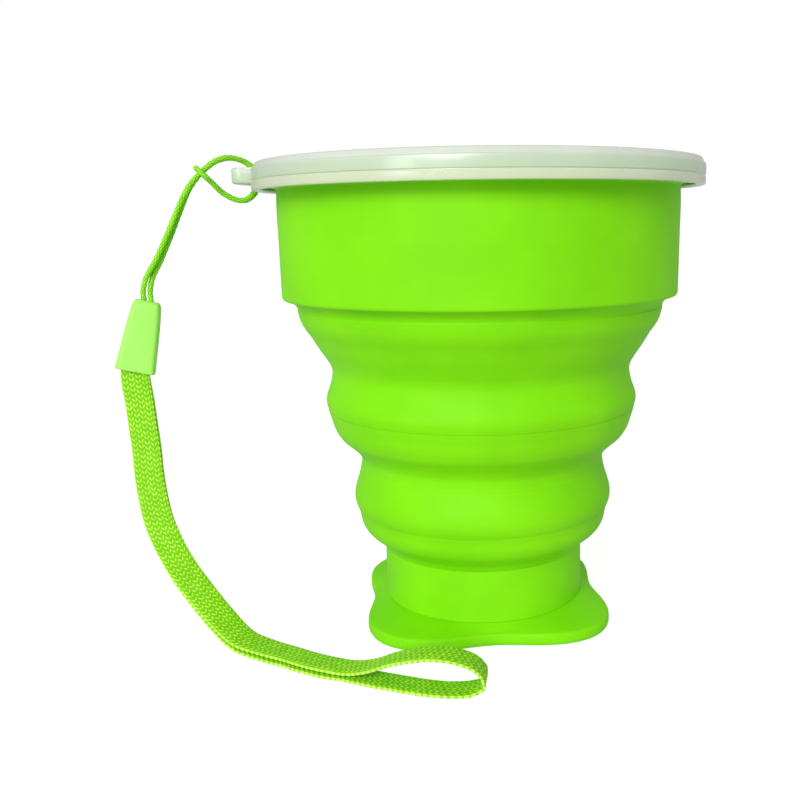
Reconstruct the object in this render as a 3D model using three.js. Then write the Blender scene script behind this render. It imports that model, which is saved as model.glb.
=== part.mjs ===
// A collapsible travel cup: one silicone moulding with stiff rings and thin folding webs, a push-fit
// lid with a tab, and a wrist strap on a thin cord. Millimetres, +Z up. The origin is the centre of
// the foot's underside, on the cup's axis. The lid's tab points along -X.
import * as THREE from "three";

// ---- driving dimensions -------------------------------------------------------------------
const LID_RADIUS = 40.2;
const LID_TOP = 83.7;
const LID_BOTTOM = 79.0;
const LID_WALL = 1.4;
const LID_PLATE = 1.5;
const PLUG_RADIUS = 33.3;
const PLUG_WALL = 1.2;
const PLUG_BOTTOM = 77.7;

const LIP_RADIUS = 38.3;
const LIP_TOP = 81.9;
const BAND_RADIUS = 36.1;
const BAND_WALL = 2.0;
const BAND_BOTTOM = 60.2;
const RING_WALL = 1.8;
const WEB_WALL = 1.3;
const BASE_RADIUS = 18.95;
const BASE_TOP = 11.2;
const BASE_FLOOR = 5.4;
const FOOT_RADIUS = 24.2;
const FOOT_WAVE = 2.8;
const FOOT_LOBES = 4;
const FOOT_TURN = -40 * Math.PI / 180;
const FOOT_HEIGHT = 3.4;
const FOOT_RIM_HEIGHT = 2.3;
const FOOT_EDGE = 0.5;
const FOOT_STEPS = 16 * FOOT_LOBES;

const CORD_DIAMETER = 0.95;
const STRAND_GAP = 0.6;
const WEBBING_WIDTH = 5.1;
const WEBBING_THICKNESS = 0.8;
const LAYER_OFFSET = 0.55;

const GAP = 0.3;
const TURN_STEPS = 40;

// ---- finishes -----------------------------------------------------------------------------
const SILICONE = { color: 0x7de81c, roughness: 0.5, metalness: 0 };
const MILKY = { color: 0xd3e2cc, roughness: 0.3, metalness: 0, transparent: true, opacity: 0.75 };
const STRAP_PLASTIC = { color: 0xa6f560, roughness: 0.45, metalness: 0 };
const CORD_YARN = { color: 0x6fd92b, roughness: 0.7, metalness: 0 };
const WEBBING_YARN = { color: 0x86e23a, roughness: 0.75, metalness: 0 };

const cup = new THREE.Group();

function addMesh(parent, name, geometry, finish) {
  const mesh = new THREE.Mesh(geometry, new THREE.MeshStandardMaterial(finish));
  mesh.name = name;
  parent.add(mesh);
  return mesh;
}

// A turned solid from (radius, height) pairs. The outline runs up the outside and down the inside.
function turned(outline) {
  const points = outline.map(([radius, height]) => new THREE.Vector2(radius, height));
  const geometry = new THREE.LatheGeometry(points, TURN_STEPS);
  geometry.rotateX(Math.PI / 2);
  return geometry;
}

// A turned wall: the outer face as (radius, height) pairs from the bottom up, and its thickness
// measured along the radius.
function wall(outer, thickness) {
  const inner = outer.map(([radius, height]) => [radius - thickness, height]).reverse();
  return turned([...outer, ...inner, outer[0]]);
}

// ---- the silicone cup, from the foot up -----------------------------------------------------
function footRing(inset, height) {
  const ring = [];
  for (let i = 0; i < FOOT_STEPS; i += 1) {
    const angle = 2 * Math.PI * i / FOOT_STEPS;
    const radius = FOOT_RADIUS - inset + FOOT_WAVE * Math.cos(FOOT_LOBES * (angle - FOOT_TURN));
    ring.push([radius * Math.cos(angle), radius * Math.sin(angle), height]);
  }
  return ring;
}

function roundRing(radius, height) {
  const ring = [];
  for (let i = 0; i < FOOT_STEPS; i += 1) {
    const angle = 2 * Math.PI * i / FOOT_STEPS;
    ring.push([radius * Math.cos(angle), radius * Math.sin(angle), height]);
  }
  return ring;
}

// A solid through rings of points from the bottom up, closed by a flat face below and above.
function stacked(rings) {
  const count = rings[0].length;
  const positions = rings.flat(2);
  const index = [];
  for (let low = 0; low < rings.length - 1; low += 1) {
    for (let side = 0; side < count; side += 1) {
      const along = (side + 1) % count;
      index.push(low * count + side, low * count + along, (low + 1) * count + along);
      index.push(low * count + side, (low + 1) * count + along, (low + 1) * count + side);
    }
  }
  const centre = rings.length * count;
  positions.push(0, 0, rings[0][0][2], 0, 0, rings[rings.length - 1][0][2]);
  for (let side = 0; side < count; side += 1) {
    const along = (side + 1) % count;
    index.push(centre, along, side);
    index.push(centre + 1, centre - count + side, centre - count + along);
  }
  const geometry = new THREE.BufferGeometry();
  geometry.setAttribute("position", new THREE.Float32BufferAttribute(positions, 3));
  geometry.setIndex(index);
  geometry.computeVertexNormals();
  return geometry;
}

addMesh(cup, "foot", stacked([
  footRing(FOOT_EDGE, 0),
  footRing(0, FOOT_EDGE),
  footRing(0, FOOT_RIM_HEIGHT - FOOT_EDGE),
  footRing(FOOT_EDGE, FOOT_RIM_HEIGHT),
  roundRing(BASE_RADIUS + 0.6, FOOT_HEIGHT),
]), SILICONE);

const baseInner = BASE_RADIUS - RING_WALL;
addMesh(cup, "base_cup", turned([
  [0, FOOT_HEIGHT + GAP],
  [BASE_RADIUS, FOOT_HEIGHT + GAP],
  [BASE_RADIUS, BASE_TOP],
  [baseInner, BASE_TOP],
  [baseInner, BASE_FLOOR + 1],
  [baseInner - 1, BASE_FLOOR],
  [0, BASE_FLOOR],
]), SILICONE);

addMesh(cup, "lower_web", wall([
  [BASE_RADIUS, BASE_TOP + GAP],
  [19.3, 13.8],
  [20.9, 15.1],
  [22.3, 16.3],
  [22.7, 17.2],
], WEB_WALL), SILICONE);

addMesh(cup, "ring_lower", wall([
  [22.9, 17.2 + GAP],
  [23.3, 19.0],
  [24.1, 21.3],
  [24.4, 23.0],
  [23.9, 25.2],
  [23.2, 27.4],
  [22.9, 29.0],
], RING_WALL), SILICONE);

addMesh(cup, "middle_web", wall([
  [22.9, 29.0 + GAP],
  [23.0, 30.7],
  [25.1, 33.1],
  [26.7, 34.5],
  [27.5, 36.5],
], WEB_WALL), SILICONE);

addMesh(cup, "ring_upper", wall([
  [27.7, 36.5 + GAP],
  [28.4, 39.1],
  [28.95, 41.3],
  [28.4, 43.3],
  [27.8, 45.4],
  [27.65, 47.0],
], RING_WALL), SILICONE);

addMesh(cup, "upper_web", wall([
  [27.7, 47.0 + GAP],
  [28.6, 49.2],
  [32.1, 54.7],
  [32.9, 56.5],
  [33.3, 58.1],
  [33.8, BAND_BOTTOM - GAP],
], WEB_WALL), SILICONE);

const bandInner = BAND_RADIUS - BAND_WALL;
addMesh(cup, "rim_band", turned([
  [bandInner - 0.6, BAND_BOTTOM],
  [35.4, BAND_BOTTOM],
  [BAND_RADIUS, BAND_BOTTOM + 1.3],
  [BAND_RADIUS, LID_BOTTOM + 0.4],
  [bandInner, LID_BOTTOM + 0.4],
  [bandInner, BAND_BOTTOM + 1.6],
  [bandInner - 0.6, BAND_BOTTOM],
]), SILICONE);

// The flange at the mouth, which the lid snaps over.
addMesh(cup, "rim_lip", turned([
  [bandInner, LID_BOTTOM + 0.4 + GAP],
  [LIP_RADIUS - 0.6, LID_BOTTOM + 0.4 + GAP],
  [LIP_RADIUS, LID_BOTTOM + 1.3],
  [LIP_RADIUS, LIP_TOP - 0.7],
  [LIP_RADIUS - 0.7, LIP_TOP],
  [bandInner + 0.5, LIP_TOP],
  [bandInner, LIP_TOP - 0.5],
  [bandInner, LID_BOTTOM + 0.4 + GAP],
]), SILICONE);

// ---- the lid and its tab ----------------------------------------------------------------------
const plateUnder = LID_TOP - LID_PLATE;
const skirtInner = LID_RADIUS - LID_WALL;
addMesh(cup, "lid", turned([
  [0, plateUnder],
  [PLUG_RADIUS - PLUG_WALL, plateUnder],
  [PLUG_RADIUS - PLUG_WALL, PLUG_BOTTOM],
  [PLUG_RADIUS, PLUG_BOTTOM],
  [PLUG_RADIUS, plateUnder],
  [skirtInner, plateUnder],
  [skirtInner, LID_BOTTOM],
  [LID_RADIUS, LID_BOTTOM],
  [LID_RADIUS, LID_TOP - 1.0],
  [LID_RADIUS - 1.0, LID_TOP],
  [0, LID_TOP],
]), MILKY);

// The tab is a small bail: two short legs and a bar, with the cord's slot between bar and lid.
const TAB_REACH = 45.0;
const TAB_HALF = 4.6;
const TAB_SLOT_HALF = 1.9;
const TAB_SLOT_END = 42.9;
const TAB_BOTTOM = 80.6;
const TAB_HEIGHT = 2.9;
const TAB_TURN = 6 * Math.PI / 180;

function tabShape() {
  const root = LID_RADIUS + GAP;
  const outer = Math.asin(TAB_HALF / root);
  const inner = Math.asin(TAB_SLOT_HALF / root);
  const slotX = -root * Math.cos(inner);
  const shape = new THREE.Shape();
  shape.moveTo(-root * Math.cos(outer), TAB_HALF);
  shape.lineTo(-TAB_REACH + 1.6, TAB_HALF);
  shape.absarc(-TAB_REACH + 1.6, TAB_HALF - 1.6, 1.6, Math.PI / 2, Math.PI, false);
  shape.absarc(-TAB_REACH + 1.6, -TAB_HALF + 1.6, 1.6, Math.PI, 1.5 * Math.PI, false);
  shape.lineTo(-root * Math.cos(outer), -TAB_HALF);
  shape.absarc(0, 0, root, Math.PI + outer, Math.PI + inner, true);
  shape.lineTo(slotX, -TAB_SLOT_HALF);
  shape.lineTo(-TAB_SLOT_END, -TAB_SLOT_HALF);
  shape.lineTo(-TAB_SLOT_END, TAB_SLOT_HALF);
  shape.lineTo(slotX, TAB_SLOT_HALF);
  shape.absarc(0, 0, root, Math.PI - inner, Math.PI - outer, true);
  return shape;
}

const tabGeometry = new THREE.ExtrudeGeometry(tabShape(), {
  depth: TAB_HEIGHT,
  bevelEnabled: false,
  curveSegments: 4,
});
tabGeometry.translate(0, 0, TAB_BOTTOM);
tabGeometry.rotateZ(-TAB_TURN);
addMesh(cup, "lid_tab", tabGeometry, MILKY);

// ---- the wrist cord: one length, doubled, hitched through the tab's slot -------------------------
// Each row is a point on the middle of the doubled cord, and the way its two strands part.
const CORD_LEGS = [
  [-60.91, -3.63, 58.06, -0.97, -0.24, 0.24],
  [-60.55, -3.42, 59.9, -0.97, -0.24, 0.24],
  [-60.7, -3.2, 61.3, -0.9, -0.45, 0.2],
  [-60.1, -3.0, 63.9, -0.65, -0.74, 0.2],
  [-58.1, -2.8, 67.4, -0.35, -0.92, 0.2],
  [-56.0, -2.5, 71.7, -0.22, -0.98, 0.19],
  [-54.2, -2.0, 75.8, -0.1, -0.99, 0.15],
  [-52.1, -1.5, 80.0, 0.1, -0.99, 0.05],
  [-50.15, -1.0, 82.4, 0.25, -0.97, 0.0],
  [-49.1, -0.5, 83.45, 0.25, -0.97, 0.0],
  [-47.55, 0.5, 84.7, 0.2, -0.98, 0.0],
  [-45.8, 1.6, 85.3, 0.1, -1.0, 0.0],
  [-44.35, 2.8, 85.2, 0.05, -1.0, 0.0],
  [-43.1, 3.75, 84.7, 0.0, -1.0, 0.0],
  [-42.1, 4.2, 83.85, -0.05, -1.0, 0.0],
  [-41.35, 4.3, 82.4, -0.1, -0.99, 0.0],
  [-41.15, 4.3, 80.8, -0.1, -0.99, 0.0],
  [-41.7, 4.05, 79.1, 0.0, -1.0, 0.0],
  [-43.1, 3.3, 77.85, 0.1, -1.0, 0.0],
  [-44.75, 2.5, 77.85, 0.15, -1.0, 0.0],
  [-46.9, 1.4, 79.1, 0.2, -1.25, 0.0],
  [-48.3, 0.3, 80.75, 0.5, -2.2, 0.0],
  [-49.35, -0.5, 81.95, 0.7, -2.75, 0.0],
  [-50.25, -0.9, 82.9, 0.6, -2.2, 0.0],
];
const CORD_BIGHT = [-50.75, -1.05, 83.4];

function cordRoute() {
  const strand = (side) => CORD_LEGS.map(([x, y, z, partX, partY, partZ]) => new THREE.Vector3(
    x + side * STRAND_GAP * partX,
    y + side * STRAND_GAP * partY,
    z + side * STRAND_GAP * partZ,
  ));
  return [...strand(1), new THREE.Vector3(...CORD_BIGHT), ...strand(-1).reverse()];
}

function roundSection(diameter, sides) {
  const shape = new THREE.Shape();
  for (let i = 0; i < sides; i += 1) {
    const angle = 2 * Math.PI * (i + 0.5) / sides;
    const x = diameter / 2 * Math.cos(angle);
    const y = diameter / 2 * Math.sin(angle);
    if (i === 0) shape.moveTo(x, y);
    else shape.lineTo(x, y);
  }
  shape.closePath();
  return shape;
}

const cordPath = new THREE.CatmullRomCurve3(cordRoute(), false, "centripetal");
addMesh(cup, "wrist_cord", new THREE.ExtrudeGeometry(roundSection(CORD_DIAMETER, 8), {
  steps: 80,
  extrudePath: cordPath,
  bevelEnabled: false,
}), CORD_YARN);

// ---- the strap clip, which leans the way the strap hangs ------------------------------------------
const CLIP_HEIGHT = 13.1;
const CLIP_TOP_WIDTH = 4.75;
const CLIP_BOTTOM_WIDTH = 6.95;
const CLIP_DEPTH = 3.6;
const CLIP_WALL = 0.55;
const CLIP_MOUTH_DEPTH = 10.4;
const CLIP_FOOT = new THREE.Vector3(-63.3, -5.0, 47.2);
const CLIP_HEAD = new THREE.Vector3(-60.5, -3.4, 59.95);
const CLIP_SPIN = 14 * Math.PI / 180;

const clipFrame = new THREE.Group();
clipFrame.position.copy(CLIP_FOOT);
clipFrame.quaternion.setFromUnitVectors(
  new THREE.Vector3(0, 0, 1),
  CLIP_HEAD.clone().sub(CLIP_FOOT).normalize(),
);
clipFrame.rotateZ(CLIP_SPIN);
cup.add(clipFrame);

// A tapered sleeve made of rings of eight corners each: outside up, then down the inside, so that
// the mouth is open below and the cord's small hole is open above.
function tapered(rings) {
  const corners = ([halfWidth, halfDepth, chamfer, height]) => [
    [halfWidth - chamfer, -halfDepth, height],
    [halfWidth, -halfDepth + chamfer, height],
    [halfWidth, halfDepth - chamfer, height],
    [halfWidth - chamfer, halfDepth, height],
    [-halfWidth + chamfer, halfDepth, height],
    [-halfWidth, halfDepth - chamfer, height],
    [-halfWidth, -halfDepth + chamfer, height],
    [-halfWidth + chamfer, -halfDepth, height],
  ];
  const positions = rings.flatMap((ring) => corners(ring)).flat();
  const index = [];
  for (let ring = 0; ring < rings.length; ring += 1) {
    const next = (ring + 1) % rings.length;
    for (let side = 0; side < 8; side += 1) {
      const along = (side + 1) % 8;
      const low = ring * 8;
      const high = next * 8;
      index.push(low + side, low + along, high + along);
      index.push(low + side, high + along, high + side);
    }
  }
  const geometry = new THREE.BufferGeometry();
  geometry.setAttribute("position", new THREE.Float32BufferAttribute(positions, 3));
  geometry.setIndex(index);
  geometry.computeVertexNormals();
  return geometry;
}

const clipHalfTop = CLIP_TOP_WIDTH / 2;
const clipHalfBottom = CLIP_BOTTOM_WIDTH / 2;
addMesh(clipFrame, "strap_clip", tapered([
  [clipHalfBottom, CLIP_DEPTH / 2, 0.8, 0],
  [clipHalfTop + 0.3, CLIP_DEPTH / 2, 0.8, CLIP_HEIGHT - 2],
  [clipHalfTop - 0.5, CLIP_DEPTH / 2 - 0.5, 0.6, CLIP_HEIGHT],
  [1.4, 0.8, 0.3, CLIP_HEIGHT],
  [1.4, 0.8, 0.3, CLIP_MOUTH_DEPTH + 1],
  [clipHalfTop - CLIP_WALL, CLIP_DEPTH / 2 - CLIP_WALL, 0.2, CLIP_MOUTH_DEPTH],
  [2.5, CLIP_DEPTH / 2 - CLIP_WALL, 0.2, 6.5],
  [2.85, CLIP_DEPTH / 2 - CLIP_WALL, 0.2, 3.2],
  [clipHalfBottom - CLIP_WALL, CLIP_DEPTH / 2 - CLIP_WALL, 0.2, 0],
]), STRAP_PLASTIC);

// The knot that ties the cord's two ends, held behind the clip's small hole.
const knotGeometry = new THREE.SphereGeometry(1.0, 10, 6);
knotGeometry.scale(1.5, 0.95, 1.0);
const knot = addMesh(clipFrame, "cord_knot", knotGeometry, CORD_YARN);
knot.position.set(0, 0, 9.0);

// ---- the wrist webbing: one flat length folded into a loop ----------------------------------------
// Each row is a point on the middle of the doubled strap, and the way its width runs.
const STRAP_LEGS = [
  [-62.75, -4.68, 49.7, 0.97, 0.24, -0.24],
  [-63.3, -5.0, 46.6, 0.98, 0.2, -0.2],
  [-62.6, -5.8, 41.6, 1.0, 0.05, -0.03],
  [-61.96, -6.8, 37.35, 1.0, 0.07, 0.07],
  [-61.27, -7.9, 33.1, 1.0, 0.1, 0.14],
  [-60.7, -9.2, 28.9, 1.0, 0.13, 0.17],
  [-59.82, -10.6, 24.8, 1.0, 0.17, 0.2],
  [-58.54, -12.1, 20.7, 1.0, 0.24, 0.23],
  [-56.39, -13.8, 16.7, 1.0, 0.35, 0.24],
  [-53.65, -15.7, 12.85, 1.0, 0.5, 0.22],
  [-50.19, -17.7, 9.1, 1.0, 0.6, 0.18],
  [-46.31, -20.1, 5.55, 1.0, 0.75, 0.12],
  [-41.9, -22.9, 2.65, 0.95, 1.0, 0.05],
  [-37.1, -24.8, 1.55, 0.78, 1.2, 0.02],
  [-33.0, -26.4, 1.12, 0.62, 1.3, 0.0],
  [-29.2, -28.5, 1.0, 0.5, 1.3, 0.0],
  [-25.6, -30.2, 1.0, 0.49, 1.3, 0.0],
  [-22.0, -31.5, 1.05, 0.42, 1.3, 0.0],
];
// The open end of the loop stands on edge: out along the top, round the nose, back along the table.
const STRAP_LOOP = [
  [-18.5, -32.9, 2.6, 0.4, 1.3, 0.0],
  [-14.9, -34.1, 4.3, 0.38, 1.3, 0.0],
  [-11.6, -35.2, 5.45, 0.36, 1.3, 0.0],
  [-8.3, -36.1, 6.15, 0.3, 1.3, 0.0],
  [-5.2, -36.6, 6.1, 0.24, 1.3, 0.0],
  [-2.6, -36.5, 5.2, 0.2, 1.3, 0.0],
  [-0.9, -36.2, 3.9, 0.16, 1.3, 0.0],
  [-0.1, -36.1, 2.5, 0.14, 1.3, 0.0],
  [-0.4, -36.3, 1.25, 0.16, 1.3, 0.0],
  [-2.0, -36.8, 0.58, 0.2, 1.3, 0.0],
  [-5.4, -37.1, 0.49, 0.26, 1.3, 0.0],
  [-9.6, -36.3, 0.49, 0.32, 1.3, 0.0],
  [-13.9, -34.8, 0.49, 0.36, 1.3, 0.0],
  [-17.9, -33.3, 0.49, 0.4, 1.3, 0.0],
];

// A path that carries the direction of the strap's width along with it.
class StrapPath extends THREE.CatmullRomCurve3 {
  constructor(points, widths) {
    super(points, false, "centripetal");
    this.widths = new THREE.CatmullRomCurve3(widths, false, "centripetal");
  }

  computeFrenetFrames(segments) {
    const frames = { tangents: [], normals: [], binormals: [] };
    const rows = this.widths.points.length - 1;
    for (let i = 0; i <= segments; i += 1) {
      const tangent = this.getTangentAt(i / segments);
      const place = this.getUtoTmapping(i / segments) * rows;
      const row = Math.min(Math.floor(place), rows - 1);
      const width = this.widths.points[row].clone().lerp(this.widths.points[row + 1], place - row);
      width.addScaledVector(tangent, -width.dot(tangent)).normalize();
      frames.tangents.push(tangent);
      frames.normals.push(width);
      frames.binormals.push(tangent.clone().cross(width));
    }
    return frames;
  }
}

function strapPath() {
  const middles = STRAP_LEGS.map(([x, y, z]) => new THREE.Vector3(x, y, z));
  const widths = STRAP_LEGS.map(([, , , wx, wy, wz]) => new THREE.Vector3(wx, wy, wz).normalize());
  const along = new THREE.CatmullRomCurve3(middles, false, "centripetal");
  const layer = (side) => middles.map((middle, i) => {
    const tangent = along.getTangent(i / (middles.length - 1));
    const face = tangent.cross(widths[i]).normalize();
    return middle.clone().addScaledVector(face, side * LAYER_OFFSET);
  });
  const loopPoints = STRAP_LOOP.map(([x, y, z]) => new THREE.Vector3(x, y, z));
  const loopWidths = STRAP_LOOP.map(([, , , wx, wy, wz]) => new THREE.Vector3(wx, wy, wz).normalize());
  return new StrapPath(
    [...layer(1), ...loopPoints, ...layer(-1).reverse()],
    [...widths, ...loopWidths, ...widths.slice().reverse()],
  );
}

const webbingSection = new THREE.Shape();
webbingSection.moveTo(-WEBBING_WIDTH / 2, -WEBBING_THICKNESS / 2);
webbingSection.lineTo(WEBBING_WIDTH / 2, -WEBBING_THICKNESS / 2);
webbingSection.lineTo(WEBBING_WIDTH / 2, WEBBING_THICKNESS / 2);
webbingSection.lineTo(-WEBBING_WIDTH / 2, WEBBING_THICKNESS / 2);
webbingSection.closePath();
addMesh(cup, "wrist_webbing", new THREE.ExtrudeGeometry(webbingSection, {
  steps: 76,
  extrudePath: strapPath(),
  bevelEnabled: false,
}), WEBBING_YARN);

export default cup;
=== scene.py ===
# %% [markdown]
# A collapsible travel cup, with its lid and wrist strap.
#
# The real thing is a drinking cup moulded in soft silicone. Its wall is a stack of stiff rings
# with thin webs between them, so it pushes flat for a pocket. A milky plastic lid snaps over its
# lip. A woven strap hangs from the lid on a thin round cord.
#
# The shapes that fit and move come from a imported model, which is loaded first and never changed.
# Each cell below builds one piece of the cup in mesh code, or one finish, and says why it is
# made in that way.

# %% Load the imported model
import math

import bmesh
import bpy
import numpy as np
from mathutils import Matrix, Vector


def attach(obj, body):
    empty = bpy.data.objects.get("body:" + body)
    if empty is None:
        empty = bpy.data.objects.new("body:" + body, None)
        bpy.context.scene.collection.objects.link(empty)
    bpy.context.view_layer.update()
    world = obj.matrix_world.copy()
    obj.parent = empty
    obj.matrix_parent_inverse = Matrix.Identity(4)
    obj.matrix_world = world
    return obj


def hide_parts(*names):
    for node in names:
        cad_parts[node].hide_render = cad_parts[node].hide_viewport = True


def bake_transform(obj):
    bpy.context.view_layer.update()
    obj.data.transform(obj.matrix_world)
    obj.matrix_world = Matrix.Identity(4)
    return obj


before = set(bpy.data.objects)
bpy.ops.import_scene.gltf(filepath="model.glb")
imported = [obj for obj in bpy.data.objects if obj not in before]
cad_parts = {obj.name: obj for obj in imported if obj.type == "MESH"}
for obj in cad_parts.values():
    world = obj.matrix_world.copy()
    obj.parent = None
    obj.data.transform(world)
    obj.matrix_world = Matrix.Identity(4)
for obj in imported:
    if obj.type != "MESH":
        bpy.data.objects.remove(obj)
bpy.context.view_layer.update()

MM = 0.001

# %% [markdown]
# The camera stands where a person would hold it to look at a cup on a table: a little above the
# table, close in, and tilted down by eleven degrees. Being close matters as much as the angle,
# because it makes the lid look wider than the foot. The cup stands right of the middle, with room
# on the left for the strap, so the lens is shifted and the camera still faces the cup squarely.

# %% The camera
CAMERA_DISTANCE = 171.15 * MM
CAMERA_HEIGHT = 73.14 * MM
CAMERA_TILT = math.radians(10.95)
CAMERA_ROLL = math.radians(0.78)
LENS = 41.29
SENSOR = 36.0
SIDE_SHIFT = -0.1016

camera_data = bpy.data.cameras.new("table_camera")
camera_data.lens = LENS
camera_data.sensor_width = SENSOR
camera_data.shift_x = SIDE_SHIFT
camera_data.clip_start = 0.005
camera = bpy.data.objects.new("table_camera", camera_data)
bpy.context.scene.collection.objects.link(camera)
turn = Matrix.Rotation(math.pi / 2 - CAMERA_TILT, 4, "X") @ Matrix.Rotation(-CAMERA_ROLL, 4, "Z")
camera.matrix_world = Matrix.Translation((0, -CAMERA_DISTANCE, CAMERA_HEIGHT)) @ turn
bpy.context.scene.camera = camera
print("camera at", tuple(round(v, 4) for v in camera.matrix_world.translation))

# %% [markdown]
# Most pieces here are rings of points joined by quads: a cord is a ring swept along a line, a cup
# is an outline swept around an axis. So a few small helpers come first. They work on plain arrays
# of points, which keeps the shape of each piece readable in millimetres, and they close every
# mesh, so that each piece is a true solid. Two points closer than the weld distance become one.


# %% Helpers that make meshes
WELD = 1e-7


def new_piece(name, points, faces, sharp_angle=50):
    """A smooth-shaded mesh object from points in millimetres; creases over sharp_angle stay crisp."""
    mesh = bpy.data.meshes.new(name)
    mesh.from_pydata((np.asarray(points, float) * MM).tolist(), [], faces)
    mesh.validate()
    bm = bmesh.new()
    bm.from_mesh(mesh)
    bmesh.ops.remove_doubles(bm, verts=bm.verts, dist=WELD)
    bmesh.ops.recalc_face_normals(bm, faces=bm.faces)
    limit = math.radians(sharp_angle)
    for edge in bm.edges:
        if len(edge.link_faces) == 2 and edge.calc_face_angle() > limit:
            edge.smooth = False
    for face in bm.faces:
        face.smooth = True
    bm.to_mesh(mesh)
    bm.free()
    piece = bpy.data.objects.new(name, mesh)
    bpy.context.scene.collection.objects.link(piece)
    return piece


def ring_faces(rows, columns, closed_rows=False):
    """Quads between rows of points, each row a closed ring of that many columns."""
    faces = []
    for row in range(rows if closed_rows else rows - 1):
        after = (row + 1) % rows
        for column in range(columns):
            beside = (column + 1) % columns
            faces.append((
                row * columns + column,
                row * columns + beside,
                after * columns + beside,
                after * columns + column,
            ))
    return faces


def swept(name, rings, sharp_angle=50):
    """A solid from an array of rings (rows, columns, 3), with flat ends."""
    rows, columns, _ = rings.shape
    faces = ring_faces(rows, columns)
    faces.append(tuple(reversed(range(columns))))
    faces.append(tuple(range((rows - 1) * columns, rows * columns)))
    return new_piece(name, rings.reshape(-1, 3), faces, sharp_angle)


def rings_round_axis(outline, steps):
    """A ring of points round the upright axis for each (radius, height) of an outline."""
    outline = np.asarray(outline, float)
    angles = np.linspace(0, 2 * np.pi, steps, endpoint=False)
    return np.stack([
        np.outer(outline[:, 0], np.cos(angles)),
        np.outer(outline[:, 0], np.sin(angles)),
        np.repeat(outline[:, 1][:, None], steps, axis=1),
    ], axis=2)


def turned(name, outline, steps, sharp_angle):
    """A hollow solid of revolution, from a closed outline that stays off the axis."""
    rings = rings_round_axis(outline, steps)
    faces = ring_faces(len(outline), steps, closed_rows=True)
    return new_piece(name, rings.reshape(-1, 3), faces, sharp_angle)


def turned_solid(name, outline, steps, sharp_angle):
    """A solid of revolution, from an outline that starts and ends on the axis."""
    rings = rings_round_axis(outline[1:-1], steps)
    points = list(rings.reshape(-1, 3))
    faces = ring_faces(len(rings), steps)
    below = len(points)
    points.append((0.0, 0.0, outline[0][1]))
    points.append((0.0, 0.0, outline[-1][1]))
    last = (len(rings) - 1) * steps
    for column in range(steps):
        beside = (column + 1) % steps
        faces.append((below, beside, column))
        faces.append((below + 1, last + column, last + beside))
    return new_piece(name, points, faces, sharp_angle)


# %% [markdown]
# A smooth line through a few chosen points is the other thing that everything needs. A
# centripetal spline is used, because it passes through every point and never loops back between
# two of them, however unevenly they are spaced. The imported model's cords follow the same kind of
# spline, so a cord drawn here lies exactly where its solid is.


# %% Helpers that make lines
def spline(points, per_span=12):
    """A dense centripetal spline through points, a row per point and any number of columns."""
    points = np.asarray(points, float)
    ends = [2 * points[0] - points[1]], [2 * points[-1] - points[-2]]
    chain = np.vstack([ends[0], points, ends[1]])
    line = []
    for i in range(1, len(chain) - 2):
        before, start, end, after = chain[i - 1], chain[i], chain[i + 1], chain[i + 2]
        gaps = [max(np.linalg.norm(b - a), 1e-6) ** 0.5 for a, b in
                ((before, start), (start, end), (end, after))]
        leave = (start - before) / gaps[0] - (end - before) / (gaps[0] + gaps[1])
        leave = (leave + (end - start) / gaps[1]) * gaps[1]
        reach = (end - start) / gaps[1] - (after - start) / (gaps[1] + gaps[2])
        reach = (reach + (after - end) / gaps[2]) * gaps[1]
        for t in np.arange(per_span) / per_span:
            line.append(
                (2 * t**3 - 3 * t**2 + 1) * start + (t**3 - 2 * t**2 + t) * leave
                + (3 * t**2 - 2 * t**3) * end + (t**3 - t**2) * reach
            )
    line.append(points[-1])
    return np.array(line)


def along(line):
    """The distance of each point of a line from its start."""
    return np.concatenate([[0], np.cumsum(np.linalg.norm(np.diff(line[:, :3], axis=0), axis=1))])


def spaced(line, step):
    """The same line with points a step apart, whatever other columns it carries."""
    far = along(line)
    count = max(2, int(round(far[-1] / step)) + 1)
    places = np.linspace(0, far[-1], count)
    return np.stack([np.interp(places, far, line[:, k]) for k in range(line.shape[1])], axis=1)


def unit(vectors):
    """The same directions with a length of one."""
    return vectors / np.linalg.norm(vectors, axis=-1, keepdims=True)


def directions(line):
    """Which way a line runs at each of its points."""
    return unit(np.gradient(line[:, :3], axis=0))


# %% [markdown]
# The thin cord is one length of braid, doubled over. Both ends are tied inside the clip. Its
# folded middle goes down through the slot in the lid's tab, and the rest of the strap is passed
# through it, which makes a hitch that tightens itself.
#
# The route is given as the middle of the doubled cord, with the way the two strands part
# at each point: side by side on the way up, one behind the other through the slot.

# %% The cord's route
STRAND_GAP = 0.6
CORD_DIAMETER = 0.95
CORD_STEP = 0.09
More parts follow.
